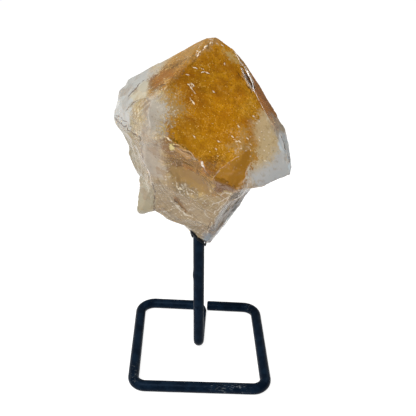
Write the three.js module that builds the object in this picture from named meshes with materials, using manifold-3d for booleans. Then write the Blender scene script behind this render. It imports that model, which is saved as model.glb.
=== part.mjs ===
// A raw citrine point on a bent steel-rod stand.
// Millimetres, +Z up, the front faces -Y. The stand rests on z = 0.
import * as THREE from "three";
import { ConvexGeometry } from "three/addons/geometries/ConvexGeometry.js";
import { mergeVertices } from "three/addons/utils/BufferGeometryUtils.js";
import Module from "manifold-3d";

const wasm = await Module();
wasm.setup();

// Driving dimensions of the stand, one rod bent by hand
const ROD_DIAMETER = 5;
const ROD_SIDES = 12;
const ROD_STEPS = 170;
const RING_WIDTH = 60;
const RING_DEPTH = 59.8;
const FRONT_SKEW = 2.5; // the front bar's left end sits this much further back than its right end
const BACK_SKEW = 4.6; // the same for the back bar
const RING_LEAN = 1.5; // the side bars run this much to the left on their way back
const FRONT_CORNER_RADIUS = 6;
const BACK_CORNER_RADIUS = 7;
const FOOT_BEND_RADIUS = 5.5; // where the back bar turns forward to the middle of the base
const FOOT_BEND_AT = 1.5; // how far right of the post's axis that bend stands
const ELBOW_RADIUS = 3.2; // where the rod turns up into the post
const ELBOW_AT = -0.4; // the post stands this far in front of the base's middle
const ROD_END_AT = 4.2; // the rod's cut end in the back bar, right of the post's axis
const POST_TOP = 72;
const POST_LEAN = 0.6; // the post's top stands this far right of its foot

// Driving dimensions of the crystal
const HEART = [1, 0, 105]; // every face is measured from this point inside the crystal
const HOLE_CLEARANCE = 0.3; // the hole is upright, so it also clears the post's lean
const HOLE_TOP = 72.4;
const HOLE_AT = 0.55; // the hole's axis, right of the post's foot
const ROUND_SIDES = 24; // facets round the hole and the glue

// Driving dimensions of the glue fillet between the post and the crystal's slanting underside
const GLUE_GAP = 0.35; // kept clear of the post and of the crystal
const GLUE_THICKNESS = 1.5;
const GLUE_LOW = [3.2, 56]; // radius and height at the fillet's narrow end
const GLUE_HIGH = [3.9, 68]; // radius and height at its wide end

// The crystal's lumps, each the space between its own corners
const CROWN_CORNERS = [
  [3.1, 4, 149], // left end of the blunt apex
  [7.7, 5, 149.5], // right end of the blunt apex
  [15.4, 4, 144.4], // right shoulder of the apex
  [18.6, 4, 141.6],
  [24.9, 4.5, 131.2], // right edge, going down
  [32.7, 0.5, 118.8],
  [36, -0.8, 113.4],
  [36.8, -8, 109.5],
  [36.6, -18.6, 105.8], // the right lobe's corner and lower edge
  [36.1, -20.9, 103],
  [34.2, -23.2, 101.4],
  [27.5, -26.7, 101.3],
  [17.5, -30.4, 102.6], // the front face's lower edge, going up to the left
  [13.8, -31, 101.6],
  [7.4, -31.6, 102.1],
  [6.4, -31.8, 107],
  [-16.1, -27.5, 124.7], // the front face's left edge, going up
  [-16.9, -24.5, 129.1],
  [-15.6, -20.6, 132.6], // foot of the ridge from the apex
  [-18.4, -2.9, 134.8], // where the upper left face's clear part ends
  [-18.2, -15.5, 132.2], // the lower corner of that part
  [-19.5, -20.5, 118.1], // left shoulder
  [-22.1, -18, 117.1],
  [-30.5, -5, 116.9],
  [-28.1, -8, 124.2],
  [-27.3, 8, 132], // left end
  [-31.2, 5, 127.6],
  [-33.4, 1, 118],
  [-33, 1, 115.5],
  [-32.3, 2, 113],
  [-30.8, 1.5, 107], // lower left edge
  [-28.4, 1, 99.5],
  [-24.4, 0, 93.2],
  [-17, -16.5, 97.1],
  [6, 15, 141], // back of the apex
  [-16, 21, 127], // back, going down
  [20, 20, 122],
  [30, 11, 104],
  [-25, 17, 110],
  [0, 28, 110],
  [15, 24, 98],
  [-12, 24, 92],
  [24.3, 1, 86.4], // where the lobe's underside meets the root
];
const ROOT_CORNERS = [
  [3.5, -2, 60.9], // the tip beside the post
  [5.5, -2, 60.9],
  [10, 3, 66.5], // lower right edge, going up
  [15.6, 4, 72.6],
  [24.3, 1, 86.4],
  [4.2, -6, 64.9],
  [17.5, -30.4, 102.6],
  [6.4, -31.8, 107],
  [-10.8, -28.4, 121],
  [-19.5, -20.5, 118.1],
  [-19.2, -19, 105.2],
  [-17, -16.5, 97.1],
  [-18, -5, 79], // lower left edge, going down
  [-14.7, -3, 75.8],
  [-4.4, 0, 65.8],
  [0.6, 0, 61],
  [-14, 13, 77], // back, going up
  [0, 11, 66],
  [10, 13, 72],
  [-12, 24, 92],
  [15, 24, 98],
  [-23.7, 0, 93.2],
];
const NUB_CORNERS = [
  [-24, 0, 92.5],
  [-24.8, -1, 86.6],
  [-26.6, -2, 77.6],
  [-25.5, -2, 75.6],
  [-23.7, -3, 75.9],
  [-17, -5, 79.2],
  [-17.2, -15, 96.4],
  [-19.8, -12, 87.6],
  [-17.7, -10, 82.9],
  [-22, 7, 77.5],
  [-14, 8, 79],
  [-21, 9, 92],
];

// The natural growth faces: the compass direction each looks (degrees from +X, anticlockwise
// seen from above), its tilt above the horizon and its distance from the heart
const GROWTH_FACES = [
  { name: "front", looks: -64.6, tilt: 37.3, reach: 25.9 },
  { name: "upper left", looks: -160.1, tilt: 58.3, reach: 35.4 },
  { name: "right", looks: -15.2, tilt: 34.9, reach: 32.6 },
  { name: "back left", looks: 100, tilt: 36, reach: 29.6 },
];

// Shell-shaped fractures and chips: a spot on the surface, the way it looks, the hollow's width,
// how many times longer it is than wide, the roll of its long side, and its depth
const HOLLOWS = [
  { name: "below the front ledge", at: [-4.3, -28, 112], looks: -112, tilt: -18,
    width: 17, stretch: 2, roll: -32, depth: 1.7 },
  { name: "second step", at: [-2, -23.5, 99.5], looks: -110, tilt: -27,
    width: 19, stretch: 2, roll: -28, depth: 1.9 },
  { name: "beside the amber block", at: [3.6, -24, 100], looks: -135, tilt: -20,
    width: 11, stretch: 1.6, roll: 80, depth: 1.3 },
  { name: "lower middle", at: [-5, -14.8, 86], looks: -112, tilt: -30,
    width: 22, stretch: 1.5, roll: -45, depth: 1.8 },
  { name: "beside the lower ridge", at: [6.2, -21.5, 91], looks: -101, tilt: -29,
    width: 22, stretch: 1.4, roll: 55, depth: 1.9 },
  { name: "left of the front", at: [-13.5, -21, 105], looks: -118, tilt: -19,
    width: 22, stretch: 1.4, roll: 80, depth: 1.6 },
  { name: "lower left of the front", at: [-13.4, -14.4, 91.2], looks: -118, tilt: -30,
    width: 20, stretch: 1.4, roll: -40, depth: 1.5 },
  { name: "above the tip", at: [0.8, -8, 71], looks: -112, tilt: -30,
    width: 15, stretch: 1.5, roll: -60, depth: 1.1 },
  { name: "lower right", at: [12.6, -15, 84], looks: -30, tilt: -31,
    width: 25, stretch: 1.6, roll: 60, depth: 2 },
  { name: "lower left side", at: [-24.4, -9.1, 106.3], looks: -152, tilt: -18,
    width: 20, stretch: 1.5, roll: 75, depth: 1.1 },
  { name: "lower left edge", at: [-30.6, 0.8, 109.6], looks: -167, tilt: -22,
    width: 14, stretch: 1, roll: 0, depth: 2 },
  { name: "nub", at: [-20.8, -10.3, 87.7], looks: -150, tilt: 5,
    width: 11, stretch: 1.6, roll: 80, depth: 0.8 },
  { name: "under the left edge", at: [-6.4, -2.5, 70.2], looks: -140, tilt: -50,
    width: 9, stretch: 1.4, roll: -50, depth: 0.7 },
  { name: "lower back", at: [4, 20, 87], looks: 84, tilt: -24,
    width: 36, stretch: 1.3, roll: 20, depth: 2.6 },
  { name: "lower back right", at: [16, 13, 86], looks: 31, tilt: -21,
    width: 28, stretch: 1.5, roll: 60, depth: 2.4 },
  { name: "lower back left", at: [-21, 14, 100], looks: 154, tilt: -26,
    width: 26, stretch: 1.4, roll: 100, depth: 1.9 },
  { name: "root back left", at: [-9, 16, 78], looks: 111, tilt: -32,
    width: 22, stretch: 1.4, roll: 30, depth: 1.7 },
  { name: "middle back", at: [1, 25, 103], looks: 88, tilt: -8,
    width: 20, stretch: 1.8, roll: -10, depth: 1.5 },
  { name: "right side", at: [31, 3, 102], looks: 14, tilt: -19,
    width: 20, stretch: 1.4, roll: 30, depth: 1.4 },
  { name: "back right side", at: [22, 18, 108], looks: 49, tilt: -1,
    width: 20, stretch: 1.3, roll: 70, depth: 1.3 },
  { name: "apex chip, left", at: [1.4, -2, 145.2], looks: -95, tilt: 56,
    width: 5, stretch: 1.8, roll: 45, depth: 0.7 },
  { name: "apex chip, right", at: [5.5, 3, 148.4], looks: -80, tilt: 56,
    width: 4, stretch: 1.4, roll: 20, depth: 0.5 },
  { name: "right ridge chip", at: [20, -0.6, 135.8], looks: -40, tilt: 40,
    width: 6, stretch: 2.4, roll: -55, depth: 0.9 },
  { name: "left notch", at: [-28.4, 6.6, 131], looks: -172, tilt: 36,
    width: 4, stretch: 1.5, roll: 0, depth: 0.8 },
  { name: "left shoulder chip", at: [-25, -13.5, 117], looks: -138, tilt: 0,
    width: 7, stretch: 1.8, roll: 0, depth: 0.8 },
  { name: "front ledge chip, left", at: [-8, -28.9, 118.2], looks: -95, tilt: 8,
    width: 7, stretch: 1.9, roll: -34, depth: 1.2 },
  { name: "front ledge chip, right", at: [0.4, -30, 112.6], looks: -95, tilt: 5,
    width: 8, stretch: 1.7, roll: -40, depth: 1.5 },
  { name: "amber block", at: [14.2, -27.6, 107.3], looks: -80, tilt: 20,
    width: 15, stretch: 1.35, roll: 30, depth: 1.1 },
  { name: "lobe edge chip", at: [22, -28.6, 101.9], looks: -70, tilt: -20,
    width: 5, stretch: 1.5, roll: 10, depth: 0.5 },
  { name: "pit by the ridge", at: [-12, -16, 135.4], looks: -110, tilt: 50,
    width: 2, stretch: 1, roll: 0, depth: 0.6 },
];
const HOLLOW_FACET = 2.8; // longest side of a facet in a hollow
const FACETS_ACROSS = 5; // least number of facets across a small hollow

const UP = new THREE.Vector3(0, 0, 1);
const WORLD_BLOCK = 220; // larger than the whole object
const WELD = 1e-4; // corners closer than this are one

// Solids and cuts
function solidOf(geometry) {
  const bare = geometry.clone();
  bare.deleteAttribute("normal");
  bare.deleteAttribute("uv");
  const merged = mergeVertices(bare, WELD);
  return new wasm.Manifold(
    new wasm.Mesh({
      numProp: 3,
      vertProperties: new Float32Array(merged.attributes.position.array),
      triVerts: new Uint32Array(merged.index.array),
    }),
  );
}

function geometryOf(solid) {
  const mesh = solid.getMesh();
  const geometry = new THREE.BufferGeometry();
  geometry.setAttribute("position", new THREE.BufferAttribute(mesh.vertProperties, 3));
  geometry.setIndex(new THREE.BufferAttribute(mesh.triVerts, 1));
  return geometry.toNonIndexed();
}

function direction(looks, tilt) {
  const turn = THREE.MathUtils.degToRad(looks);
  const rise = THREE.MathUtils.degToRad(tilt);
  return new THREE.Vector3(
    Math.cos(rise) * Math.cos(turn),
    Math.cos(rise) * Math.sin(turn),
    Math.sin(rise),
  );
}

function outsideOf(face) {
  const outward = direction(face.looks, face.tilt);
  const block = new THREE.BoxGeometry(WORLD_BLOCK, WORLD_BLOCK, WORLD_BLOCK);
  block.translate(0, 0, WORLD_BLOCK / 2);
  block.applyQuaternion(new THREE.Quaternion().setFromUnitVectors(UP, outward));
  const seat = new THREE.Vector3(...HEART).addScaledVector(outward, face.reach);
  block.translate(seat.x, seat.y, seat.z);
  return solidOf(block);
}

function lump(corners) {
  return solidOf(new ConvexGeometry(corners.map((corner) => new THREE.Vector3(...corner))));
}

function hollow({ at, looks, tilt, width, stretch, roll, depth }) {
  const outward = direction(looks, tilt);
  const radius = (width * width) / (8 * depth) + depth / 2;
  const facet = Math.min(HOLLOW_FACET, width / FACETS_ACROSS);
  const ball = new THREE.IcosahedronGeometry(radius, Math.ceil(radius / facet));
  ball.scale(stretch, 1, 1);
  ball.rotateZ(THREE.MathUtils.degToRad(roll));
  ball.applyQuaternion(new THREE.Quaternion().setFromUnitVectors(UP, outward));
  const middle = new THREE.Vector3(...at).addScaledVector(outward, radius - depth);
  ball.translate(middle.x, middle.y, middle.z);
  return solidOf(ball);
}

// The crystal
function crystalSolid() {
  const grown = GROWTH_FACES.reduce(
    (rest, face) => rest.subtract(outsideOf(face)),
    lump(CROWN_CORNERS),
  );
  const broken = lump(ROOT_CORNERS).add(lump(NUB_CORNERS));
  const hole = new THREE.CylinderGeometry(
    ROD_DIAMETER / 2 + HOLE_CLEARANCE,
    ROD_DIAMETER / 2 + HOLE_CLEARANCE,
    HOLE_TOP,
    ROUND_SIDES,
  );
  hole.rotateX(Math.PI / 2);
  hole.translate(HOLE_AT, ELBOW_AT, HOLE_TOP / 2);
  const chipped = HOLLOWS.reduce(
    (rest, spot) => rest.subtract(hollow(spot)),
    grown.add(broken),
  );
  return chipped.subtract(solidOf(hole));
}

// The glue, a flaring ring that follows the slanting underside of the crystal
function glueSolid(crystal) {
  const inner = ROD_DIAMETER / 2 + GLUE_GAP;
  const profile = [
    [inner, GLUE_LOW[1]],
    GLUE_LOW,
    GLUE_HIGH,
    [inner, GLUE_HIGH[1]],
    [inner, GLUE_LOW[1]],
  ];
  const cone = new THREE.LatheGeometry(
    profile.map(([radius, height]) => new THREE.Vector2(radius, height)),
    ROUND_SIDES,
  );
  cone.rotateX(Math.PI / 2);
  cone.translate(HOLE_AT, ELBOW_AT, 0);
  const above = crystal.translate([0, 0, -GLUE_GAP]);
  const below = crystal.translate([0, 0, -GLUE_GAP - GLUE_THICKNESS]);
  return solidOf(cone).intersect(below).subtract(above);
}

// The stand
function roundedPath(corners) {
  const path = new THREE.CurvePath();
  let from = corners[0].at;
  for (let i = 1; i < corners.length - 1; i++) {
    const { at, radius } = corners[i];
    const back = from.clone().sub(at).normalize();
    const ahead = corners[i + 1].at.clone().sub(at).normalize();
    const half = back.angleTo(ahead) / 2;
    const reach = radius / Math.tan(half);
    const start = at.clone().addScaledVector(back, reach);
    const end = at.clone().addScaledVector(ahead, reach);
    const pull = (4 / 3) * Math.tan((Math.PI - 2 * half) / 4) * radius;
    path.add(new THREE.LineCurve3(from, start));
    path.add(
      new THREE.CubicBezierCurve3(
        start,
        start.clone().addScaledVector(back, -pull),
        end.clone().addScaledVector(ahead, -pull),
        end,
      ),
    );
    from = end;
  }
  path.add(new THREE.LineCurve3(from, corners[corners.length - 1].at));
  return path;
}

function standGeometry() {
  const level = ROD_DIAMETER / 2;
  const ringPoint = (side, end) =>
    new THREE.Vector3(
      (side * RING_WIDTH) / 2 - (end * RING_LEAN) / 2,
      (end * RING_DEPTH) / 2 - (side * (end > 0 ? BACK_SKEW : FRONT_SKEW)) / 2,
      level,
    );
  const backRight = ringPoint(1, 1);
  const backLeft = ringPoint(-1, 1);
  const alongBack = (x) => {
    const share = (x - backLeft.x) / (backRight.x - backLeft.x);
    return backLeft.clone().lerp(backRight, share);
  };
  const corners = [
    { at: alongBack(ROD_END_AT) },
    { at: backRight, radius: BACK_CORNER_RADIUS },
    { at: ringPoint(1, -1), radius: FRONT_CORNER_RADIUS },
    { at: ringPoint(-1, -1), radius: FRONT_CORNER_RADIUS },
    { at: backLeft, radius: BACK_CORNER_RADIUS },
    { at: alongBack(FOOT_BEND_AT), radius: FOOT_BEND_RADIUS },
    { at: new THREE.Vector3(0, ELBOW_AT, level), radius: ELBOW_RADIUS },
    { at: new THREE.Vector3(POST_LEAN, ELBOW_AT, POST_TOP) },
  ];
  const flat = Math.PI / ROD_SIDES;
  const radius = ROD_DIAMETER / 2 / Math.cos(flat);
  const section = new THREE.Shape();
  for (let i = 0; i < ROD_SIDES; i++) {
    const turn = flat + (i * 2 * Math.PI) / ROD_SIDES;
    section[i ? "lineTo" : "moveTo"](radius * Math.cos(turn), radius * Math.sin(turn));
  }
  section.closePath();
  return new THREE.ExtrudeGeometry(section, {
    steps: ROD_STEPS,
    extrudePath: roundedPath(corners),
  });
}

const citrine = new THREE.MeshStandardMaterial({ color: 0xb47a1e, roughness: 0.15, metalness: 0 });
const blackPaint = new THREE.MeshStandardMaterial({ color: 0x14191d, roughness: 0.5, metalness: 0 });
const darkGlue = new THREE.MeshStandardMaterial({ color: 0x23211e, roughness: 0.4, metalness: 0 });

function piece(name, geometry, material) {
  const mesh = new THREE.Mesh(geometry, material);
  mesh.name = name;
  return mesh;
}

const crystal = crystalSolid();
const part = new THREE.Group();
part.add(piece("crystal", geometryOf(crystal), citrine));
part.add(piece("stand", standGeometry(), blackPaint));
part.add(piece("glue_fillet", geometryOf(glueSolid(crystal)), darkGlue));

// The origin is the middle of the object's footprint, on the surface it stands on
const limits = new THREE.Box3().setFromObject(part);
const middle = limits.getCenter(new THREE.Vector3());
part.children.forEach((mesh) => mesh.geometry.translate(-middle.x, -middle.y, -limits.min.z));

export default part;
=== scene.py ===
"""A raw citrine crystal on a stand of bent black rod: the looks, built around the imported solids."""

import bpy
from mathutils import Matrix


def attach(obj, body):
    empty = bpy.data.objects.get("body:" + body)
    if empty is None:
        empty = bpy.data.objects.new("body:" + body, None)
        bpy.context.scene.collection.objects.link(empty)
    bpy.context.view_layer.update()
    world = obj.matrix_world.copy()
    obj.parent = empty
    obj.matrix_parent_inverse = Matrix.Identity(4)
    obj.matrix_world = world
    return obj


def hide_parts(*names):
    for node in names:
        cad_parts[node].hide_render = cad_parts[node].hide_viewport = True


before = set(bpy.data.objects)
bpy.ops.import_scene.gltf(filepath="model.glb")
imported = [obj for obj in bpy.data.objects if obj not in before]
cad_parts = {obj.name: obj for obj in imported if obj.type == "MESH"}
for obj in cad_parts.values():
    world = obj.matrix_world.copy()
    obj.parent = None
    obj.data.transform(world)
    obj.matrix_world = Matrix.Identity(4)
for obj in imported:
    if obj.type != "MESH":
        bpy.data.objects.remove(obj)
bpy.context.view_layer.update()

import math

import bmesh
import bpy
import numpy as np
from mathutils import Matrix, Vector, noise
from mathutils.bvhtree import BVHTree
from mathutils.kdtree import KDTree

# The viewpoint: a camera a little above the object, looking down at it, as the photograph does.
# Places on the object are measured in millimetres from the middle of the stand's foot, which is
# found from the stand's highest points, at the top of its slightly leaning post.
MM = 0.001
PHOTO_SIDE = 416
FOCAL_PIXELS = 618.0
CAMERA_PITCH = math.radians(28.4)
CAMERA_AT = (4.6, -234.8, 204.4)
SENSOR_WIDTH = 36.0
NEAREST_SEEN = 0.01
POST_AT = (0.0, -0.4)
POST_LEAN = 0.6
POST_END_SLICE = 0.1

stand_points = [v.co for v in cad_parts["stand"].data.vertices]
post_end = max(v.z for v in stand_points)
end_points = [v for v in stand_points if v.z > post_end - POST_END_SLICE * MM]
end_middle = sum(end_points, Vector()) / len(end_points)
end_right = (POST_AT[0] + POST_LEAN) * MM
foot_middle = Vector((end_middle.x - end_right, end_middle.y - POST_AT[1] * MM, 0))


def place(x, y, z):
    """A point given in millimetres from the middle of the foot, in the frame's metres."""
    return Vector((x, y, z)) * MM + foot_middle


camera_lens = bpy.data.cameras.new("photo_camera")
camera_lens.sensor_width = SENSOR_WIDTH
camera_lens.lens = FOCAL_PIXELS / PHOTO_SIDE * SENSOR_WIDTH
camera_lens.clip_start = NEAREST_SEEN
camera = bpy.data.objects.new("photo_camera", camera_lens)
camera.location = place(*CAMERA_AT)
camera.rotation_euler = (math.pi / 2 - CAMERA_PITCH, 0, 0)
bpy.context.scene.collection.objects.link(camera)
bpy.context.scene.camera = camera

# The stand: one length of steel rod, bent by hand into a square foot, a run to the foot's middle
# and a post, then coated in black satin paint that is scratched through where it has been handled.
ROD_RADIUS = 2.5
ROD_SIDES = 28
FOOT_WIDTH = 60.0
FOOT_DEPTH = 59.8
FRONT_SKEW = 2.5
BACK_SKEW = 4.6
SIDE_LEAN = 1.5
FRONT_BEND = 6.0
BACK_BEND = 7.0
INNER_BEND = 5.5
INNER_BEND_AT = 1.5
ELBOW_BEND = 3.2
ROD_END_AT = 4.2
POST_TOP = 72.0
STRAIGHT_STEP = 1.4
BEND_STEP = 0.5
LEAST_BEND_STEPS = 4
END_CHAMFER = 0.35
PAINT_WAVE = 0.035
PAINT_WAVES_PER_MM = 0.35
PAINT_BLOB_AT = (-2.4, -0.9, 43.0)
PAINT_BLOB_SIZE = 1.7
PAINT_BLOB_RISE = 0.32


def foot_corner(side, end):
    """A corner of the foot's centre line: side is -1 left or 1 right, end is -1 front or 1 back."""
    skew = BACK_SKEW if end > 0 else FRONT_SKEW
    along, back = side * FOOT_WIDTH / 2, end * FOOT_DEPTH / 2
    return Vector((along - end * SIDE_LEAN / 2, back - side * skew / 2, ROD_RADIUS))


def along_back_bar(x):
    """The point of the back bar's centre line at x."""
    left, right = foot_corner(-1, 1), foot_corner(1, 1)
    return left.lerp(right, (x - left.x) / (right.x - left.x))


def straight_run(start, end):
    """Even points on the way from a start to an end, without the start itself."""
    run = end - start
    steps = max(1, round(run.length / STRAIGHT_STEP))
    return [start + run * (i / steps) for i in range(1, steps + 1)]


def bent_line(corners):
    """Points along straight runs joined by round bends. Each corner is a place and a bend radius."""
    points = [corners[0][0]]
    for (before, _), (at, radius), (after, _) in zip(corners, corners[1:], corners[2:]):
        back, ahead = (before - at).normalized(), (after - at).normalized()
        half = back.angle(ahead) / 2
        reach = radius / math.tan(half)
        centre = at + (back + ahead).normalized() * (radius / math.sin(half))
        start, end = at + back * reach, at + ahead * reach
        points += straight_run(points[-1], start)
        sweep = math.pi - 2 * half
        steps = max(LEAST_BEND_STEPS, round(sweep * radius / BEND_STEP))
        spin_axis = (start - centre).cross(end - centre).normalized()
        for i in range(1, steps + 1):
            turn = Matrix.Rotation(sweep * i / steps, 3, spin_axis)
            points.append(centre + turn @ (start - centre))
    return points + straight_run(points[-1], corners[-1][0])


rod_line = bent_line([
    (along_back_bar(ROD_END_AT), 0),
    (foot_corner(1, 1), BACK_BEND),
    (foot_corner(1, -1), FRONT_BEND),
    (foot_corner(-1, -1), FRONT_BEND),
    (foot_corner(-1, 1), BACK_BEND),
    (along_back_bar(INNER_BEND_AT), INNER_BEND),
    (Vector((POST_AT[0], POST_AT[1], ROD_RADIUS)), ELBOW_BEND),
    (Vector((POST_AT[0] + POST_LEAN, POST_AT[1], POST_TOP)), 0),
])


def rod_mesh(points):
    """A closed round rod along the points, with uneven paint and chamfered ends."""
    shape = bmesh.new()
    rings = []
    side_way = Vector((0, 0, 1))
    ends = {0: 1, len(points) - 1: -1}
    for i, point in enumerate(points):
        ahead = (points[min(i + 1, len(points) - 1)] - points[max(i - 1, 0)]).normalized()
        side_way = (side_way - ahead * side_way.dot(ahead)).normalized()
        other_way = ahead.cross(side_way)
        radii = [(0, ROD_RADIUS)]
        if i in ends:
            radii = [(END_CHAMFER * ends[i], ROD_RADIUS), (0, ROD_RADIUS - END_CHAMFER)][::-ends[i]]
        for shift, radius in radii:
            ring = []
            for k in range(ROD_SIDES):
                turn = 2 * math.pi * k / ROD_SIDES
                out = side_way * math.cos(turn) + other_way * math.sin(turn)
                at = point + ahead * shift + out * radius
                lift = noise.noise(at * PAINT_WAVES_PER_MM) * PAINT_WAVE
                blob = (at - Vector(PAINT_BLOB_AT)).length / PAINT_BLOB_SIZE
                lift += PAINT_BLOB_RISE * math.exp(-blob * blob)
                spot = at + out * lift
                spot.z = max(spot.z, 0.0)
                ring.append(shape.verts.new(spot * MM + foot_middle))
            rings.append(ring)
    for low, high in zip(rings, rings[1:]):
        for k in range(ROD_SIDES):
            shape.faces.new((low[k], low[k - 1], high[k - 1], high[k]))
    shape.faces.new(rings[0])
    shape.faces.new(rings[-1][::-1])
    bmesh.ops.recalc_face_normals(shape, faces=shape.faces)
    mesh = bpy.data.meshes.new("stand_rod")
    shape.to_mesh(mesh)
    shape.free()
    mesh.shade_smooth()
    return mesh


def shader_node(tree, kind, inputs=None, **settings):
    """Adds a node, sets its settings, and fills or links its inputs by name or number."""
    made = tree.nodes.new(kind)
    for key, value in settings.items():
        setattr(made, key, value)
    for key, value in (inputs or {}).items():
        if isinstance(value, bpy.types.NodeSocket):
            tree.links.new(value, made.inputs[key])
        else:
            made.inputs[key].default_value = value
    return made


def colour(code):
    """A screen colour such as #A86C0A as linear red, green, blue and 1."""
    parts = [int(code[i:i + 2], 16) / 255 for i in (1, 3, 5)]
    return [p / 12.92 if p <= 0.04045 else ((p + 0.055) / 1.055) ** 2.4 for p in parts] + [1]


def mixed(tree, mask, below, above):
    """The colour below where the mask is 0 and above where it is 1."""
    inputs = {0: mask, 6: below, 7: above}
    return shader_node(tree, "ShaderNodeMix", inputs, data_type="RGBA").outputs[2]


def ramp(tree, value, low, high, start=0.0, end=1.0):
    """A smooth step of a value: start where it is low, end where it is high."""
    inputs = {"Value": value, "From Min": low, "From Max": high, "To Min": start, "To Max": end}
    return shader_node(tree, "ShaderNodeMapRange", inputs, interpolation_type="SMOOTHSTEP").outputs[0]


def maths(tree, what, first, second=0.5):
    """A sum, product or other calculation with one or two values."""
    return shader_node(tree, "ShaderNodeMath", {0: first, 1: second}, operation=what).outputs[0]


def vector_maths(tree, what, first, second=(0, 0, 0)):
    """A calculation with one or two vectors: the vector that it gives, or the value."""
    made = shader_node(tree, "ShaderNodeVectorMath", {0: first, 1: second}, operation=what)
    return made.outputs["Value" if what in ("DISTANCE", "DOT_PRODUCT", "LENGTH") else "Vector"]


def clouds(tree, where, scale, detail=3.0, roughness=0.55, distortion=0.0):
    """Soft random patches, so many of them in a metre."""
    inputs = {"Vector": where, "Scale": scale, "Detail": detail}
    inputs.update({"Roughness": roughness, "Distortion": distortion})
    return shader_node(tree, "ShaderNodeTexNoise", inputs).outputs["Fac"]


def near(tree, where, spot, inner, outer):
    """A soft ball of 1 round a spot, given in millimetres from the middle of the foot."""
    apart = vector_maths(tree, "DISTANCE", where, place(*spot))
    return ramp(tree, apart, inner * MM, outer * MM, 1.0, 0.0)


def bumps(tree, height, strength, depth):
    """A surface direction with bumps of a height, up to a depth in millimetres."""
    inputs = {"Strength": strength, "Distance": depth * MM, "Height": height}
    return shader_node(tree, "ShaderNodeBump", inputs).outputs["Normal"]


def new_material(name):
    """An empty material, its node tree and its output."""
    material = bpy.data.materials.new(name)
    material.use_nodes = True
    material.node_tree.nodes.clear()
    output = shader_node(material.node_tree, "ShaderNodeOutputMaterial")
    return material, material.node_tree, output


def places(tree):
    """Where each spot of a surface lies, in the frame's metres."""
    return shader_node(tree, "ShaderNodeTexCoord").outputs["Object"]


# Uneven hand-made surfaces share this effect: a fine grain with broader patches in it
BROAD_PER_FINE = 0.12
FINE_HEIGHT = 0.6

grain = bpy.data.node_groups.new("hand_finish", "ShaderNodeTree")
grain.interface.new_socket("Place", in_out="INPUT", socket_type="NodeSocketVector")
grain.interface.new_socket("Grain Size", in_out="INPUT", socket_type="NodeSocketFloat")
grain.interface.new_socket("Patches", in_out="OUTPUT", socket_type="NodeSocketFloat")
grain.interface.new_socket("Height", in_out="OUTPUT", socket_type="NodeSocketFloat")
grain_in = shader_node(grain, "NodeGroupInput").outputs
fine_scale = maths(grain, "DIVIDE", 1.0, grain_in["Grain Size"])
broad_scale = maths(grain, "MULTIPLY", fine_scale, BROAD_PER_FINE)
fine = clouds(grain, grain_in["Place"], fine_scale, detail=2.0)
broad = clouds(grain, grain_in["Place"], broad_scale, detail=4.0)
height = maths(grain, "MULTIPLY_ADD", fine, FINE_HEIGHT)
grain.links.new(broad, height.node.inputs[2])
shader_node(grain, "NodeGroupOutput", {"Patches": broad, "Height": height})


def hand_finish(tree, where, grain_size):
    """The shared effect placed in a material, with a grain size in millimetres: patches and height."""
    inputs = {"Place": where, "Grain Size": grain_size * MM}
    made = shader_node(tree, "ShaderNodeGroup", inputs, node_tree=grain)
    return made.outputs["Patches"], made.outputs["Height"]


PAINT_BLACK = "#081320"
PAINT_WORN = "#0E1C2B"
PAINT_SHEEN = "#9FC4EE"
BARE_STEEL = "#6E7478"
PAINT_GRAIN = 0.5
PAINT_ROUGHNESS = (0.3, 0.46)
PAINT_SPECULAR = 0.05
PAINT_BUMP = 0.25
PAINT_BUMP_DEPTH = 0.06
SCRATCH_CORE = 0.2
SCRATCH_STRETCH = (1.0, 2.6, 2.6)
SCRATCHES_PER_METRE = 620.0
MOST_BARE = 0.85
SCRATCHED_SPOTS = [
    ((-29.5, -25.0, 4.6), 6.0),
    ((-28.5, -19.0, 4.6), 3.0),
    ((14.0, -30.5, 4.8), 12.0),
    ((27.5, 27.0, 4.6), 5.0),
    ((1.0, -2.5, 2.0), 3.0),
]

paint, tree, output = new_material("black_satin_paint")
where = places(tree)
patches, height = hand_finish(tree, where, PAINT_GRAIN)
handled = 0.0
for spot, size in SCRATCHED_SPOTS:
    handled = maths(tree, "MAXIMUM", handled, near(tree, where, spot, size * SCRATCH_CORE, size))
long_way = vector_maths(tree, "MULTIPLY", where, SCRATCH_STRETCH)
fine_streaks = clouds(tree, long_way, SCRATCHES_PER_METRE, detail=4.0, roughness=0.7)
scratches = ramp(tree, fine_streaks, low=0.56, high=0.64)
bare = maths(tree, "MULTIPLY", maths(tree, "MULTIPLY", handled, scratches), MOST_BARE)
dull = ramp(tree, patches, low=0.42, high=0.62)
painted = mixed(tree, dull, colour(PAINT_BLACK), colour(PAINT_WORN))
shader = shader_node(tree, "ShaderNodeBsdfPrincipled", {
    "Base Color": mixed(tree, bare, painted, colour(BARE_STEEL)),
    "Metallic": bare,
    "Roughness": ramp(tree, patches, 0.3, 0.7, *PAINT_ROUGHNESS),
    "Normal": bumps(tree, height, PAINT_BUMP, PAINT_BUMP_DEPTH),
    "Specular IOR Level": PAINT_SPECULAR,
    "Specular Tint": colour(PAINT_SHEEN),
})
tree.links.new(shader.outputs[0], output.inputs["Surface"])

stand = bpy.data.objects.new("stand_rod", rod_mesh(rod_line))
bpy.context.scene.collection.objects.link(stand)
stand.data.materials.append(paint)
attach(stand, "root")
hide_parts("stand")

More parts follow.
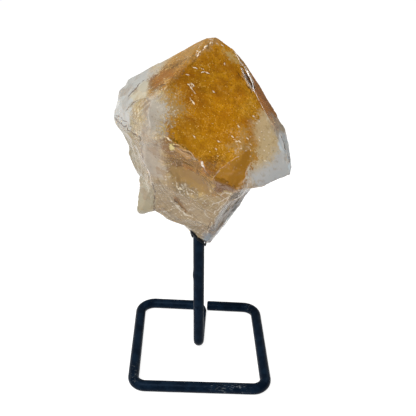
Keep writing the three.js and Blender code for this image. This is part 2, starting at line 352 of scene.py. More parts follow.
# The crystal: one natural piece of quartz, amber in its crown and milky in its root.
# Its crown has flat growth faces, and its root was broken off in shell-shaped fractures.
# The post goes up into a hole drilled in its underside.
EVEN_FACE = 0.47
GROWTH_LOOKS = {
    "front": (-64.6, 37.3),
    "upper left": (-160.1, 58.3),
    "right": (-15.2, 34.9),
    "back left": (100.0, 36.0),
}
GROWTH_SPREAD = 2.5
GROWTH_BLEND_ROUNDS = 3
EDGE_WEAR_ROUNDS = 2
WEAR_MEAN = 0.35
WEAR_SPREAD = 0.6
WEAR_PER_MM = 0.16
WEAR_LIMITS = (0.05, 0.95)
STRIATION_RUN = Vector((-0.867, 0.114, -0.485))
STRIATION_RISE = 0.09
STRIATIONS_PER_MM = 0.55
STRIATION_BREAKS_PER_MM = 0.02
FRACTURE_ROUGH = 0.1
LUMPS_PER_MM = 0.14
LUMP_ROUGHNESS = 0.9
LUMP_FINENESS = 2.2
LUMP_LAYERS = 4
RIPPLE_STEP = 2.1
RIPPLE_RISE = 0.09
RIPPLE_REACH = 17.0
RIPPLE_WOBBLE = 1.3
WOBBLES_PER_MM = 0.2
LEAST_SHARE = 0.01
BLOWS = [
    (-12.0, -28.0, 121.0),
    (19.0, -30.0, 102.0),
    (-22.0, -10.0, 80.0),
    (8.0, 4.0, 64.0),
    (22.0, 16.0, 96.0),
    (-22.0, 14.0, 104.0),
    (2.0, 27.0, 108.0),
]
PLATE_LAYERS = [
    {"spacing": 7.0, "slope": 0.07, "grown_slope": 0.008},
    {"spacing": 2.4, "slope": 0.05, "grown_slope": 0.012},
]
PLATE_SEED = 11
WANDER_SEED = 5
PLATE_BEND = 0.25
BENDS_PER_PLATE = 0.9
PLATE_EDGE = 0.12


def look(turn, tilt):
    """A direction from its compass turn and its tilt above the horizon, in degrees."""
    turn, tilt = math.radians(turn), math.radians(tilt)
    return Vector((math.cos(tilt) * math.cos(turn), math.cos(tilt) * math.sin(turn), math.sin(tilt)))


def search_tree(mesh):
    """A mesh's faces, ready for finding the one nearest to a point."""
    corners = [vertex.co for vertex in mesh.vertices]
    return BVHTree.FromPolygons(corners, [face.vertices for face in mesh.polygons])


def even_copy(node, name, face_size):
    """A copy of a solid in small even faces, with every point back on the solid's own faces."""
    copy = bpy.data.objects.new(name, node.data.copy())
    bpy.context.scene.collection.objects.link(copy)
    grid = copy.modifiers.new("even_faces", "REMESH")
    grid.mode = "VOXEL"
    grid.voxel_size = face_size * MM
    evaluated = copy.evaluated_get(bpy.context.evaluated_depsgraph_get())
    even = bpy.data.meshes.new_from_object(evaluated)
    copy.modifiers.clear()
    copy.data = even
    even.name = name
    even.materials.clear()
    faces = search_tree(node.data)
    normals = []
    for vertex in even.vertices:
        spot, normal, _, _ = faces.find_nearest(vertex.co)
        vertex.co = spot
        normals.append(normal)
    return copy, np.array(normals)


def neighbour_mean(values, edges):
    """The mean of each point's neighbours."""
    total = np.zeros_like(values)
    np.add.at(total, edges[:, 0], values[edges[:, 1]])
    np.add.at(total, edges[:, 1], values[edges[:, 0]])
    count = np.bincount(edges.ravel(), minlength=len(values))
    return total / np.maximum(count, 1).reshape((-1,) + (1,) * (values.ndim - 1))


def read_points(mesh):
    """The mesh's points as rows of x, y, z, and its edges as rows of two point numbers."""
    points = np.empty(len(mesh.vertices) * 3)
    mesh.vertices.foreach_get("co", points)
    edges = np.empty(len(mesh.edges) * 2, dtype=np.int64)
    mesh.edges.foreach_get("vertices", edges)
    return points.reshape(-1, 3), edges.reshape(-1, 2)


def plate_rise(spots, spacing, seed):
    """Rise per unit slope of small flat plates, each tilted its own way, that meet at broken edges."""
    draw = np.random.default_rng(seed)
    count = int(len(spots) * (EVEN_FACE / spacing) ** 2)
    middles = spots[draw.choice(len(spots), count, replace=False)]
    tilts = draw.normal(size=(count, 3))
    tilts /= np.linalg.norm(tilts, axis=1)[:, None]
    nearest = KDTree(count)
    for i, middle in enumerate(middles):
        nearest.insert(middle, i)
    nearest.balance()
    rises = np.zeros(len(spots))
    for i, spot in enumerate(spots):
        at = Vector(spot)
        bent = at + PLATE_BEND * spacing * noise.noise_vector(at * (BENDS_PER_PLATE / spacing))
        (_, first, near_away), (_, second, far_away) = nearest.find_n(bent, 2)
        blend = min(1.0, (far_away - near_away) / (PLATE_EDGE * spacing))
        first_rise = float((spot - middles[first]) @ tilts[first])
        second_rise = float((spot - middles[second]) @ tilts[second])
        rises[i] = first_rise * (0.5 + 0.5 * blend) + second_rise * (0.5 - 0.5 * blend)
    return rises


# Noise vectors take their offsets from the clock unless they are seeded, and then the bends of the
# plates and the wander of the cracks would change from run to run
noise.seed_set(WANDER_SEED)
crystal, face_normals = even_copy(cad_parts["crystal"], "citrine_crystal", EVEN_FACE)
points, edges = read_points(crystal.data)
growth_ways = np.array([look(*way) for way in GROWTH_LOOKS.values()])
alignment = face_normals @ growth_ways.T
least_aligned = math.cos(math.radians(GROWTH_SPREAD))
grown = (alignment.max(axis=1) > least_aligned).astype(float)
upper_left = (alignment[:, list(GROWTH_LOOKS).index("upper left")] > least_aligned).astype(float)
for _ in range(GROWTH_BLEND_ROUNDS):
    grown = 0.5 * grown + 0.5 * neighbour_mean(grown, edges)
    upper_left = 0.5 * upper_left + 0.5 * neighbour_mean(upper_left, edges)

# Worn edges: each round pulls the points in towards their neighbours, more in some stretches
local = (points - np.array(foot_middle)) / MM
wear = np.array([noise.noise(Vector(spot) * WEAR_PER_MM) for spot in local])
wear = (WEAR_MEAN + WEAR_SPREAD * wear).clip(*WEAR_LIMITS)
for _ in range(EDGE_WEAR_ROUNDS):
    points += wear[:, None] * (neighbour_mean(points, edges) - points)

# Growth lines on the upper left face, and plates, ripples and roughness on the fractures
across = look(*GROWTH_LOOKS["upper left"]).cross(STRIATION_RUN)
rise = np.zeros(len(points))
for number, layer in enumerate(PLATE_LAYERS):
    slope = layer["slope"] * (1 - grown) + layer["grown_slope"] * grown
    rise += slope * plate_rise(local, layer["spacing"], PLATE_SEED + number)
for i, spot in enumerate(local):
    at = Vector(spot)
    broken = 1 - grown[i]
    if upper_left[i] > LEAST_SHARE:
        along = at.dot(STRIATION_RUN) * STRIATION_BREAKS_PER_MM
        line = Vector((at.dot(across) * STRIATIONS_PER_MM, along, 0.0))
        rise[i] += upper_left[i] * STRIATION_RISE * noise.noise(line)
    if broken > LEAST_SHARE:
        lump = noise.fractal(at * LUMPS_PER_MM, LUMP_ROUGHNESS, LUMP_FINENESS, LUMP_LAYERS)
        rise[i] += broken * FRACTURE_ROUGH * lump
        wobble = RIPPLE_WOBBLE * noise.noise(at * WOBBLES_PER_MM)
        for blow in BLOWS:
            away = (at - Vector(blow)).length + wobble
            wave = math.sin(2 * math.pi * away / RIPPLE_STEP) * math.exp(-away / RIPPLE_REACH)
            rise[i] += broken * RIPPLE_RISE * wave

# Cracks that reach the surface, with dark lines of painted shade and pale lines of painted highlight
# along some edges,
# drawn as seen from the front and above: each is a line of places in millimetres right of and above the
# middle of the foot, and its width
DARK_CRACKS_AND_SHADE_LINES = [
    {"name": "left flank, upper", "width": 0.3, "line": [(-20, 117.5), (-22, 116), (-26, 111.5)]},
    {"name": "left flank, lower", "width": 0.25, "line": [(-22, 108.5), (-24.5, 107.5), (-26, 105.5)]},
    {"name": "left edge", "width": 0.3, "line": [(-33, 104), (-27.5, 99.5), (-21, 94.5)]},
    {"name": "over the left edge", "width": 0.2, "line": [(-32, 105), (-28, 102), (-24, 98.5)]},
    # painted shade: a dark line drawn in the fold, where shade falls
    {"name": "fold", "width": 0.25, "line": [(-20.7, 94), (-20.4, 87), (-19, 80)]},
    # painted shadow: a dark line under the ledge
    {"name": "under the ledge", "width": 0.3, "line": [(-10, 92.6), (-4.5, 89), (-2, 87.5)]},
    {"name": "beside the white crack", "width": 0.22,
     "line": [(-9.5, 72.8), (-7.7, 69.6), (-4.3, 66.3)]},
    {"name": "beside the nub", "width": 0.35,
     "line": [(-18, 78), (-17, 75.5), (-17.5, 71.5), (-18, 67.5)]},
    {"name": "right ridge", "width": 0.9, "line": [(18.5, 120.5), (20.5, 118), (22.5, 114.5)]},
    {"name": "inside the right ridge", "width": 0.3,
     "line": [(16.5, 119.5), (19, 116.5), (21.5, 112.5)]},
    {"name": "pit by the ridge", "width": 0.6, "line": [(-12.7, 113.5), (-12, 113.4)]},
    {"name": "lobe", "width": 0.2, "line": [(33.2, 96.5), (34.6, 91.5), (35.9, 86)]},
    {"name": "over the tip", "width": 0.25, "line": [(4.3, 59.5), (5.3, 61.4)]},
]
PALE_CRACKS_AND_EDGE_HIGHLIGHTS = [
    # painted highlight: a bright line along the ledge's edge
    {"name": "ledge", "width": 0.18,
     "line": [(-10.5, 93.5), (-8.5, 92.2), (-4.5, 89.7), (-1.5, 87.7), (1, 85)]},
    {"name": "panel, upper", "width": 0.15, "line": [(-6, 89.5), (-3, 87), (0.5, 85.5), (3.5, 82.5)]},
    {"name": "root", "width": 0.4,
     "line": [(-10.2, 71.5), (-9, 69.5), (-7, 67.5), (-5, 65.8), (-2.7, 64.6)]},
    {"name": "root, upper", "width": 0.1, "line": [(-3, 75.5), (0.5, 73.5), (3.5, 70.5)]},
    # painted highlights along the right ridge
    {"name": "right ridge, outer", "width": 0.3, "line": [(19, 123.5), (20.5, 121), (23, 116)]},
    {"name": "right ridge, inner", "width": 0.25, "line": [(18, 119), (19, 117.5), (21.5, 113.5)]},
    # painted highlights along the lobe's edges
    {"name": "lobe, outer", "width": 0.35, "line": [(33, 97), (35, 92), (36, 86)]},
    {"name": "lobe, inner", "width": 0.3, "line": [(32, 96), (33.5, 92), (35, 85)]},
    {"name": "lobe, rim", "width": 0.35, "line": [(34.5, 97.5), (36, 92.5), (37, 87)]},
    # painted highlight along the lower right ridge
    {"name": "lower right ridge", "width": 0.22,
     "line": [(4.3, 57.5), (7.3, 63), (11, 69.8), (14, 74.5)]},
    {"name": "fan, upper", "width": 0.2, "line": [(17.5, 75), (13, 74), (8.5, 73.5)]},
    {"name": "fan, middle", "width": 0.2, "line": [(16.5, 74.5), (11.5, 72), (6, 69)]},
    {"name": "fan, lower", "width": 0.2, "line": [(16, 73), (10.5, 69.5), (7, 66)]},
    {"name": "over the amber block", "width": 0.2,
     "line": [(6.5, 79.5), (9.5, 82.5), (13, 85.5), (16, 87.5)]},
    {"name": "right of the amber block", "width": 0.3, "line": [(20.5, 85), (19, 81.5), (17.5, 77.5)]},
    {"name": "nub", "width": 0.2, "line": [(-20, 78), (-18.5, 74), (-19.5, 69)]},
]
CRACK_WANDER = 0.7
WANDERS_PER_MM = 0.45
CRACK_DEPTH = 0.07
CRACK_REACH = 0.45
FULLY_FACING = 0.06


def front_view(spots):
    """Places as seen from the front and above, in millimetres right of and above the foot's middle."""
    up = spots[:, 1] * math.sin(CAMERA_PITCH) + spots[:, 2] * math.cos(CAMERA_PITCH)
    return np.stack([spots[:, 0], up], axis=1)


def away_from_line(spots, line):
    """How far each spot lies from a line of straight runs, in millimetres: negative on its right."""
    nearest = np.full(len(spots), np.inf)
    for start, end in zip(line, line[1:]):
        run = np.subtract(end, start)
        share = ((spots - start) @ run / (run @ run)).clip(0, 1)
        apart = spots - start - share[:, None] * run
        side = np.where(run[0] * apart[:, 1] < run[1] * apart[:, 0], -1, 1)
        away = np.linalg.norm(apart, axis=1) * side
        nearest = np.where(np.abs(away) < np.abs(nearest), away, nearest)
    return nearest


def nearest_crack(spots, cracks, reach):
    """The distance to the nearest crack in its widths, and a share that falls to 0 past its reach."""
    nearest = np.full(len(spots), np.inf)
    widths = np.ones(len(spots))
    for crack in cracks:
        away = away_from_line(spots, crack["line"])
        closer = np.abs(away) < np.abs(nearest)
        nearest = np.where(closer, away, nearest)
        widths = np.where(closer, crack["width"], widths)
    return nearest / widths, (2 - np.abs(nearest) / (reach + widths)).clip(0, 1)


towards_view = np.array((0, -math.cos(CAMERA_PITCH), math.sin(CAMERA_PITCH)))
facing = (face_normals @ towards_view).clip(0, FULLY_FACING) / FULLY_FACING
seen = front_view(local)
wander = np.array([noise.noise_vector(Vector(spot) * WANDERS_PER_MM)[:2] for spot in local])
strayed = seen + CRACK_WANDER * wander
dark_away, dark_near = nearest_crack(strayed, DARK_CRACKS_AND_SHADE_LINES, CRACK_REACH)
pale_away, pale_near = nearest_crack(strayed, PALE_CRACKS_AND_EDGE_HIGHLIGHTS, CRACK_REACH)
dark_near *= facing
pale_near *= facing
rise += CRACK_DEPTH * (pale_near - dark_near)
points += face_normals * (rise * MM)[:, None]

# Small chips, each a short stroke as seen from the front and above: they are painted bright inside as a
# highlight, and face half-way between the viewer and the main light, so that they glint
KEY_LIGHT_AT = (-190, -230, 470)
CHIPS = [
    [(-0.6, 120.6), (0.3, 120.4)],
    [(2.4, 119), (2.9, 119.2)],
    [(4.2, 119), (4.7, 118.8)],
    [(-3.2, 117.7), (-2.8, 117.6)],
    [(-2.8, 114), (-2.4, 113.7)],
    [(-1.3, 114.2), (-0.8, 113.6)],
    [(-1.8, 112.8), (-1.4, 112.2)],
    [(-0.7, 111.2), (-0.3, 110.8)],
    [(-1.8, 108.5), (-1.6, 108)],
    [(-1, 107.4), (-0.6, 106.6)],
    [(6.6, 111.9), (6.8, 111.7)],
    [(0.6, 125.6), (1.6, 127.2)],
    [(2.8, 128.4), (4.2, 129.7)],
    [(5.3, 130.7), (5.8, 131.3)],
    [(10, 130.6), (10.3, 130.4)],
    [(10.8, 123.4), (10.9, 123.1)],
    [(13.5, 95), (13.9, 94.6)],
    [(16, 99), (16.2, 98.8)],
    [(16.3, 93.1), (16.6, 92.9)],
    [(15.1, 93.1), (15.4, 92.9)],
    [(19.4, 94.4), (19.6, 94.2)],
    [(8.4, 92.8), (8.6, 92.7)],
    [(7.6, 89.8), (7.8, 89.5)],
    [(-0.4, 94.2), (-0.2, 94)],
    [(-9.8, 93.2), (-9.5, 93)],
    [(-8.4, 92.2), (-8.1, 92)],
    [(20.5, 92.2), (20.7, 92)],
    [(21.9, 103.1), (22.2, 102.9)],
    [(-21.1, 104.2), (-21, 103.8)],
    [(-14.1, 93.4), (-14, 93)],
    [(26.2, 86), (26.5, 85.9)],
    [(-7.4, 76.3), (-6.9, 75.7)],
    [(-6.3, 76), (-5.8, 75.5)],
]
CHIP_WIDTH = 0.26
CHIP_REACH = 0.1
CHIP_EDGE = 0.4
CHIP_UNEVEN = 0.12
STEEPEST_CHIP = 1.0
LEAST_TOWARDS = 0.3
CHIP_SEED = 3

view_up = np.array((0, math.sin(CAMERA_PITCH), math.cos(CAMERA_PITCH)))
chip_draw = np.random.default_rng(CHIP_SEED)
for start, end in CHIPS:
    spot, run = np.add(start, end) / 2, np.subtract(end, start)
    close = np.linalg.norm(seen - spot, axis=1) < EVEN_FACE
    close &= facing > 0.5
    if not close.any():
        continue
    nearest = np.flatnonzero(close)[np.argmax(local[close] @ towards_view)]
    middle, normal = points[nearest].copy(), face_normals[nearest]
    to_view = (place(*CAMERA_AT) - Vector(middle)).normalized()
    to_light = (place(*KEY_LIGHT_AT) - Vector(middle)).normalized()
    half_way = np.array((to_view + to_light).normalized())
    slope = half_way / max(half_way @ normal, LEAST_TOWARDS) - normal
    slope *= min(1.0, STEEPEST_CHIP / np.linalg.norm(slope))
    slope += chip_draw.normal(size=3) * CHIP_UNEVEN
    along_chip = run[0] * np.array((1, 0, 0)) + run[1] * view_up
    along_chip -= normal * (along_chip @ normal)
    half_length = np.linalg.norm(along_chip) / 2 * MM
    along_chip /= np.linalg.norm(along_chip)
    away = points - middle
    past_end = np.abs(away @ along_chip) - half_length
    past_side = np.abs(away @ np.cross(normal, along_chip)) - CHIP_WIDTH * MM
    past_face = np.abs(away @ normal) - half_length
    outside = np.maximum(np.maximum(past_end, past_side), past_face) / (CHIP_EDGE * MM)
    points += face_normals * (-(1 - outside).clip(0, 1) * (away @ slope))[:, None]
chip_lines = [{"width": CHIP_WIDTH, "line": chip} for chip in CHIPS]
chip_away, chip_near = nearest_crack(seen, chip_lines, CHIP_REACH)

crystal.data.vertices.foreach_set("co", points.ravel())
crystal.data.update()
crystal.data.shade_smooth()

FARTHEST_KEPT = 9.0


def keep_on_crystal(name, values):
    """Stores one value for each point of the crystal, for its material to read."""
    kept = crystal.data.attributes.new(name, "FLOAT", "POINT")
    kept.data.foreach_set("value", values.clip(-FARTHEST_KEPT, FARTHEST_KEPT).astype(np.float32))


keep_on_crystal("grown_face", grown)
keep_on_crystal("dark_away", dark_away)
keep_on_crystal("dark_near", dark_near)
keep_on_crystal("pale_away", pale_away)
keep_on_crystal("pale_near", pale_near)
keep_on_crystal("chip_away", chip_away)
keep_on_crystal("chip_near", chip_near * facing)

# Where bright flecks and painted glints crowd together in the front of the crystal, as seen from the
# front and above
SPARKLES = [
    {"middle": (-1.8, 111), "spread": (1.5, 4)},
    {"middle": (15.5, 93.5), "spread": (4.5, 3)},
    {"middle": (-9, 101), "spread": (3, 5)},
    {"middle": (26, 86), "spread": (2, 1.3)},
    {"middle": (7, 88), "spread": (4, 1.5)},
    {"middle": (21, 104), "spread": (3.5, 5)},
    {"middle": (3, 120), "spread": (2.5, 1.2)},
    {"middle": (-13, 94), "spread": (4, 1.5)},
]
sparkle = np.zeros(len(points))
for cluster in SPARKLES:
    away = (seen - cluster["middle"]) / cluster["spread"]
    sparkle = np.maximum(sparkle, np.exp(-(away * away).sum(axis=1) / 2))
keep_on_crystal("sparkle", sparkle * facing)

# Colour zones all round the crystal: each is an egg shape with a middle, a reach and an edge
FROSTED = "#C9C9C3"
COLOUR_ZONES = [
    {"tint": "#B09A76", "middle": (-2, -10, 80), "reach": (44, 60, 26), "edge": 0.3},
    {"tint": "#CDB068", "middle": (5, 2, 120), "reach": (23, 48, 31), "edge": 0.22},
    {"tint": "#C2860C", "middle": (6, 12, 122), "reach": (20.5, 48, 30), "edge": 0.12, "kind": "amber"},
]

# Colour patches of the front: an outline as seen from the front and above, the softness of its
# edge, and how far the edge wanders in clouds, in shards and in grains, all in millimetres
COLOUR_PATCHES = [
    {"name": "left_flank", "tint": "#C6CAC8", "kind": "plain", "soft": 1.5, "ragged": (1.5, 0.5, 1.0),
     "outline": [(-18.5, 117.5), (-18, 128), (-40, 124), (-40, 100), (-30, 101), (-20.5, 94.5),
                 (-20, 100), (-22, 104.5), (-19.5, 112)]},
    {"name": "lower_left_flank", "tint": "#9E9270", "kind": "plain",
     "soft": 1.2, "ragged": (1.5, 0.5, 0.8),
     "outline": [(-33, 103), (-20.5, 94), (-20.5, 87), (-18.5, 79.5), (-21, 78), (-30, 84),
                 (-34, 94)]},
    {"name": "grey_panel", "tint": "#B4AA9C", "kind": "plain", "soft": 2.0, "ragged": (2.0, 0.5, 1.0),
     "outline": [(-20, 93), (-12, 93), (-11.5, 89), (-11.5, 83), (-14.5, 79.5), (-19.5, 80.5),
                 (-20, 86.5)]},
    {"name": "nub", "tint": "#B2A98C", "kind": "plain", "soft": 1.0, "ragged": (1.0, 0.4, 0.5),
     "outline": [(-22, 79), (-17.5, 76), (-18, 67), (-21.5, 64), (-29, 63), (-28, 72)]},
    {"name": "ridge_front", "tint": "#6E665A", "kind": "plain", "soft": 0.5, "ragged": (0.4, 0.2, 0.3),
     "outline": [(4.5, 57.5), (7.5, 63), (11.3, 69.5), (14.5, 74.3), (17.5, 75), (13.5, 68.5),
                 (9, 61), (6.5, 57)]},
    # painted shade: the lower right face, turned down and away from the light, is painted near black
    {"name": "lower_right_face_shade", "tint": "#38342F", "kind": "plain",
     "soft": 0.5, "ragged": (0.3, 0.2, 0.2),
     "outline": [(6.5, 57), (9, 61), (13.5, 68.5), (17.5, 75), (22, 75.5), (24, 75), (18.5, 68),
                 (13, 62), (8, 56)]},
    # painted highlight: a pale blue-white rim along the lower right edge
    {"name": "lower_right_rim_highlight", "tint": "#DCE8F0", "kind": "plain",
     "soft": 0.4, "ragged": (0.3, 0.2, 0.2),
     "outline": [(6.8, 55), (8.7, 58.4), (14.2, 64.6), (18.4, 69.6), (22.4, 75), (24, 74.5),
                 (20, 68), (14, 61), (8, 53)]},
    {"name": "tip", "tint": "#93A3B1", "soft": 1.5, "ragged": (1.0, 0.0, 0.5),
     "outline": [(2, 56), (6.5, 60), (7.5, 51), (2, 51)]},
    {"name": "clear_lobe", "tint": "#C6CCCF", "kind": "plain", "soft": 3.2, "ragged": (2.5, 0.4, 2.0),
     "outline": [(31, 99), (35, 98), (40, 88), (40, 78), (33, 72), (25, 73), (18, 75.5),
                 (19.5, 81.5), (25, 84.5), (29, 87), (31, 92)]},
    {"name": "honey_halo", "tint": "#D0BB90", "soft": 3.5, "ragged": (3.0, 0.8, 2.5),
     "outline": [(25.5, 107.5), (29.5, 102.5), (33, 95), (32, 90), (27, 85.5), (22, 83.5),
                 (20.5, 85), (22.5, 91.5), (20.5, 95), (21, 98), (19.5, 101), (23, 104.5)]},
    {"name": "tan_face", "tint": "#BC9044", "soft": 2.5, "ragged": (2.0, 0.4, 1.0),
     "outline": [(-10.5, 126), (-4.5, 131), (1.5, 134), (6, 135), (6, 131), (1.5, 125.5), (-4, 120),
                 (-9, 114.5), (-12, 111.5), (-13.5, 114), (-12.5, 121)]},
    {"name": "amber_arm", "tint": "#704E02", "kind": "amber", "soft": 1.8, "ragged": (2.0, 0.6, 2.5),
     "outline": [(-17.5, 108.5), (-18, 113.5), (-18, 117.5), (-16, 119), (-12.5, 121.5),
                 (-8.5, 123), (-4.5, 124), (-6.5, 119.5), (-10.5, 115.5), (-12.5, 111.5)]},
    {"name": "amber_crown", "tint": "#B07702", "kind": "amber", "soft": 1.2, "ragged": (2.5, 1.0, 2.2),
     "outline": [(6, 130), (10.5, 128), (15, 125.5), (19, 118.5), (23, 113), (26, 108), (23, 104.5),
                 (19.5, 101), (20.5, 98), (20, 94.5), (22.5, 91.5), (21, 86.5), (18, 78),
                 (13.5, 74.5), (7.5, 74.5), (6.5, 79.5), (2.5, 83.5), (0, 86.5), (-4, 89.5),
                 (-8.5, 92), (-10.5, 93.5), (-11.5, 98.5), (-9, 103), (-8.5, 106.5), (-11, 110),
                 (-12, 111.5), (-9, 114), (-4, 120), (1, 125)]},
    {"name": "deep_left", "tint": "#8E5A02", "kind": "amber", "soft": 4.0, "ragged": (3.0, 1.0, 1.5),
     "outline": [(-8, 117), (0, 116), (5, 108), (1, 99), (-6, 97), (-10, 103), (-10, 111)]},
    {"name": "gold_glow", "tint": "#C88E0A", "kind": "amber", "soft": 4.0, "ragged": (2.5, 1.0, 1.5),
     "outline": [(4, 119), (13, 120), (19, 114), (18, 105), (9, 105), (5, 111)]},
    {"name": "right_haze", "tint": "#AE8A4E", "soft": 2.5, "ragged": (2.0, 1.0, 4.0),
     "outline": [(15, 95.5), (19, 99), (21, 97.5), (20.5, 94.5), (22, 91.5), (20.5, 87.5), (16, 88),
                 (13, 91)]},
    {"name": "gold_edge", "tint": "#C8921C", "kind": "amber", "soft": 3.0, "ragged": (2.5, 1.0, 2.0),
     "outline": [(17, 113), (22.5, 113), (26, 107.5), (22, 103.5), (18, 104)]},
    {"name": "apex_tan", "tint": "#B48A4C", "soft": 1.0, "ragged": (1.0, 0.8, 1.0),
     "outline": [(1, 126.5), (4, 132), (8, 135), (11, 132.5), (7, 130), (4, 127.5)]},
    {"name": "apex_smudge", "tint": "#C4A868", "soft": 1.2, "ragged": (1.0, 0.5, 1.5),
     "outline": [(10.5, 129), (14, 128), (16.5, 124.5), (14.5, 124), (11.5, 126.5)]},
    {"name": "cloud_veil", "tint": "#A08250", "soft": 2.5, "ragged": (2.0, 0.5, 5.0),
     "outline": [(-15, 110), (-7, 110), (-4, 105), (-7, 100), (-10, 97), (-12, 101)]},
    {"name": "milky_cloud", "tint": "#BEB8AC", "kind": "cloud", "soft": 2.4, "ragged": (2.0, 0.4, 4.5),
     "outline": [(-18, 107.5), (-13.5, 108), (-10, 106), (-10, 102), (-11.5, 99.5), (-11.5, 94),
                 (-14.5, 93), (-20, 94), (-22, 100), (-21, 104)]},
    # painted shade: the narrow facet left of the front face is painted darker, against the main light
    # that falls on it
    {"name": "cloud_side_shade", "tint": "#A5A29C", "kind": "cloud", "soft": 0.3, "ragged": (0.0, 0.0, 0.3),
     "outline": [(-16.1, 96.6), (-16.9, 101.9), (-15.6, 106.8), (-18, 109), (-20, 105),
                 (-20.5, 100), (-19, 95)]},
    {"name": "yellow_edge", "tint": "#B6A780", "soft": 1.6, "ragged": (1.5, 0.4, 1.5),
     "outline": [(-18.5, 118), (-18, 109), (-19.5, 104), (-19, 97), (-22, 95), (-25, 100),
                 (-24, 106), (-21, 111)]},
    {"name": "brown_haze", "tint": "#865A10", "soft": 3.0, "ragged": (2.0, 0.5, 3.0),
     "outline": [(-12.5, 92), (-9, 92.5), (-4, 88), (-4, 84), (-9.5, 83), (-12, 86.5)]},
    {"name": "brown_panel", "tint": "#805A00", "kind": "plain", "soft": 0.4, "ragged": (0.8, 1.2, 0.5),
     "outline": [(-7.5, 91.5), (-4.5, 89.5), (0, 86), (2.5, 83), (6, 79.5), (3.5, 79.5), (1, 81),
                 (-1.5, 83), (-4, 83.5), (-6, 84.2), (-6.5, 88)]},
    {"name": "light_facet", "tint": "#B88C48", "kind": "plain", "soft": 0.3, "ragged": (0.3, 0.2, 0.2),
     "outline": [(-7.5, 89.5), (-6, 91), (-1.5, 87), (-3, 85.5)]},
    {"name": "tan_plain", "tint": "#A07C3A", "kind": "plain", "soft": 0.6, "ragged": (1.0, 0.8, 0.3),
     "outline": [(-9.5, 84), (-6.5, 83.5), (-2.5, 83), (2.5, 79.5), (6.5, 79), (7, 74.5), (2.5, 74),
                 (-2.5, 76), (-7.5, 77.5), (-10, 80.5)]},
    {"name": "root_top", "tint": "#86765A", "soft": 1.5, "ragged": (1.5, 0.8, 1.0),
     "outline": [(-9, 78), (-4.5, 77), (1, 74.5), (0, 72), (-4, 72.5), (-8.5, 74.5)]},
    {"name": "deep_amber", "tint": "#865400", "kind": "amber", "soft": 0.5, "ragged": (0.6, 0.8, 0.8),
     "outline": [(2, 86.5), (7, 87.5), (13.5, 88), (12.5, 85.5), (6.5, 79.5), (3.5, 82)]},
    {"name": "amber_block", "tint": "#A67420", "kind": "plain", "soft": 0.4, "ragged": (0.5, 0.6, 0.2),
     "outline": [(6.5, 79.5), (13, 85.5), (20, 89.5), (20, 85), (18, 78), (13.5, 74.5), (8, 74.5)]},
    {"name": "block_foot", "tint": "#805200", "kind": "plain", "soft": 0.5, "ragged": (0.5, 0.6, 0.3),
     "outline": [(6.5, 79.5), (10, 79), (14.5, 76), (14, 74), (8, 74)]},
    {"name": "rosy_ridge", "tint": "#B06C0C", "kind": "plain", "soft": 0.6, "ragged": (0.8, 0.4, 0.6),
     "outline": [(21, 124), (27, 116), (33, 106), (34.5, 99), (31.5, 98.5), (25.5, 107),
                 (21.5, 114.5)]},
    {"name": "ridge_foot", "tint": "#C4B8A4", "kind": "plain", "soft": 2.0, "ragged": (1.5, 0.5, 0.8),
     "outline": [(29, 104), (32.5, 105), (36, 100), (35, 97), (31, 97.5)]},
    # painted highlight: a cool white rim along the lobe's outer edge
    {"name": "lobe_rim_highlight", "tint": "#D4E4F0", "kind": "plain", "soft": 0.8, "ragged": (0.8, 0.4, 0.6),
     "outline": [(33.5, 98.5), (36, 97), (40, 88), (40, 80), (36.5, 81), (34.5, 87), (32.4, 91),
                 (31.5, 95.5)]},
    {"name": "root_amber", "tint": "#8A5C14", "kind": "plain", "soft": 0.3, "ragged": (0.3, 0.2, 0.4),
     "outline": [(-9.4, 73), (-8.4, 72.8), (-5.8, 69.8), (-3.6, 66.9), (-4.3, 66.2), (-7.5, 69.4)]},
    {"name": "kite_facet", "tint": "#CCC8B4", "kind": "plain", "soft": 0.4, "ragged": (0.5, 0.2, 0.2),
     "outline": [(-20, 117.8), (-18.4, 116), (-18.4, 109), (-21.7, 107.5), (-26, 110.8)]},
    {"name": "dark_slash", "tint": "#241A0A", "kind": "plain", "soft": 0.25, "ragged": (0.2, 0.0, 0.3),
     "outline": [(18.4, 120.8), (20, 119.6), (22.7, 115), (22, 114), (19.6, 117.6)]},
    # painted highlight: a white slash along the right ridge
    {"name": "white_slash_highlight", "tint": "#FFFDF4", "kind": "plain", "soft": 0.2, "ragged": (0.2, 0.0, 0.3),
     "outline": [(18.8, 123.4), (19.8, 122.6), (22.8, 117), (22.1, 116.4), (20, 120)]},
    {"name": "yellow_glint", "tint": "#F0E49A", "kind": "plain", "soft": 0.3, "ragged": (0.2, 0.0, 0.5),
     "outline": [(-9.6, 91), (-8, 91.2), (-7.6, 89.6), (-8.8, 89.4)]},
    {"name": "white_glint", "tint": "#FFFFFF", "kind": "plain", "soft": 0.2, "ragged": (0.0, 0.0, 0.2),
     "outline": [(1.9, 85.4), (2.6, 85), (3.3, 82.8), (2.4, 83.4)]},
]


def depth_inside(spots, outline):
    """How far inside a closed outline each spot lies, in millimetres: negative outside."""
    inside = np.zeros(len(spots), dtype=bool)
    ring = outline + outline[:1]
    for (right, up), (next_right, next_up) in zip(ring, ring[1:]):
        if up != next_up:
            level = (up > spots[:, 1]) != (next_up > spots[:, 1])
            share = (spots[:, 1] - up) / (next_up - up)
            inside ^= level & (spots[:, 0] < right + share * (next_right - right))
    away = np.abs(away_from_line(spots, ring))
    return np.where(inside, away, -away)


for patch in COLOUR_PATCHES:
    depth = depth_inside(seen, patch["outline"]).clip(-FARTHEST_KEPT, FARTHEST_KEPT)
    keep_on_crystal(patch["name"], depth * facing - FARTHEST_KEPT * (1 - facing))

DARK_AMBER = "#8A5402"
DEEP_AMBER = "#A46404"
BRIGHT_AMBER = "#D89A14"
GOLD_FLECK = "#EDBE5A"
# painted glint white, for the white flecks and the chips
GLINT_WHITE = "#FFF4D8"
PANEL_SHADE = "#8C6630"
CRACK_SHADE = "#77684E"
